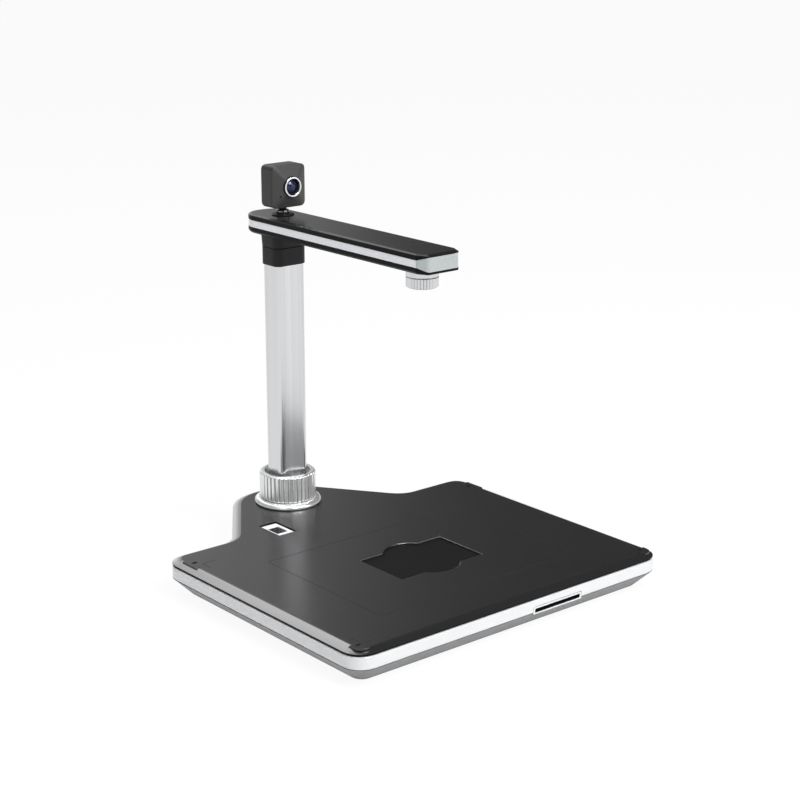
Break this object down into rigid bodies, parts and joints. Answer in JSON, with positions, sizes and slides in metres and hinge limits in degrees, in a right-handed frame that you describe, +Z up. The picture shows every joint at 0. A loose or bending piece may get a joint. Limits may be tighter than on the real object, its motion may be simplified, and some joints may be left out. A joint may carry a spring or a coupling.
{
  "type": "book scanner",
  "caption": "Free-standing overhead document scanner: flat base with card recess and slot, clamped column, swivelling arm with a downward camera and a small ball-mounted forward camera.",
  "frame": {"origin": "middle of the overall box in X and Y, on the floor the feet rest on", "axes": "+Z up, -Y towards the front edge with the card slot, +X to the right seen from the front"},
  "size_m": [0.3286, 0.35, 0.3396],
  "materials": {
    "panel_black": "satin gloss",
    "matt_black": "matt",
    "camera_grey": "satin",
    "silver_band": "silver lacquer",
    "skirt_grey": "grey satin",
    "polished": "polished",
    "column_aluminium": "satin anodised",
    "white_plastic": "satin",
    "dark_glass": "polished",
    "lamp_diffuser": "frosted",
    "steel": "plain",
    "circuit_board": "solder mask",
    "rubber": "matt"
  },
  "bodies": {
    "base": {"top_shell": "panel_black", "side_band": "silver_band", "bottom_cover": "skirt_grey", "slot_bezel": "silver_band", "card_reader": "matt_black", "antenna_board": "circuit_board", "main_board": "circuit_board", "usb_socket": "steel", "ballast_plate": "steel", "fingerprint_bezel": "white_plastic", "fingerprint_window": "dark_glass", "fingerprint_sensor": "circuit_board", "corner_stop_1": "matt_black", "corner_stop_2": "matt_black", "corner_stop_3": "matt_black", "corner_stop_4": "matt_black", "foot_1": "rubber", "foot_2": "rubber", "foot_3": "rubber", "foot_4": "rubber", "cover_screw_1": "steel", "cover_screw_2": "steel", "cover_screw_3": "steel", "cover_screw_4": "steel", "column_flange": "polished", "column_socket": "column_aluminium", "column_tube": "column_aluminium", "column_plug": "matt_black", "camera_cable": "rubber", "column_collar": "matt_black", "friction_washer": "white_plastic"},
    "lock_ring": {"lock_ring": "polished"},
    "arm": {"arm_collar": "matt_black", "swivel_shaft": "steel", "swivel_nut": "steel", "arm_bottom_cover": "matt_black", "arm_band": "silver_band", "arm_end_cap": "silver_band", "arm_top_cover": "panel_black", "camera_board": "circuit_board", "lens_barrel": "matt_black", "lens_glass": "dark_glass", "lens_collar": "column_aluminium", "lamp_window": "lamp_diffuser", "arm_screw_1": "steel", "arm_screw_2": "steel", "arm_screw_3": "steel", "arm_screw_4": "steel", "cam_foot": "matt_black"},
    "focus_ring": {"focus_ring": "column_aluminium"},
    "cam_pan": {"cam_socket_ring": "polished"},
    "cam_tilt": {"cam_stem": "matt_black", "cam_rear_shell": "camera_grey", "cam_front_shell": "camera_grey", "cam_lens_ring": "polished", "cam_lens": "dark_glass", "cam_sensor_board": "circuit_board"}
  },
  "joints": [
    {"name": "lock_ring_turn", "type": "hinge", "parent": "base", "child": "lock_ring", "pos_m": [0, 0.13065, 0.037], "axis": [0, 0, 1], "range_deg": [0, 270]},
    {"name": "arm_swivel", "type": "hinge", "parent": "base", "child": "arm", "pos_m": [0, 0.13065, 0.2677], "axis": [0, 0, 1], "range_deg": [-90, 90]},
    {"name": "focus_turn", "type": "hinge", "parent": "arm", "child": "focus_ring", "pos_m": [0, -0.05565, 0.2721], "axis": [0, 0, 1], "range_deg": [-90, 90]},
    {"name": "cam_pan", "type": "hinge", "parent": "arm", "child": "cam_pan", "pos_m": [0, 0.13065, 0.295], "axis": [0, 0, 1], "range_deg": [-170, 170]},
    {"name": "cam_tilt", "type": "hinge", "parent": "cam_pan", "child": "cam_tilt", "pos_m": [0, 0.13065, 0.2993], "axis": [1, 0, 0], "range_deg": [-20, 20]}
  ]
}
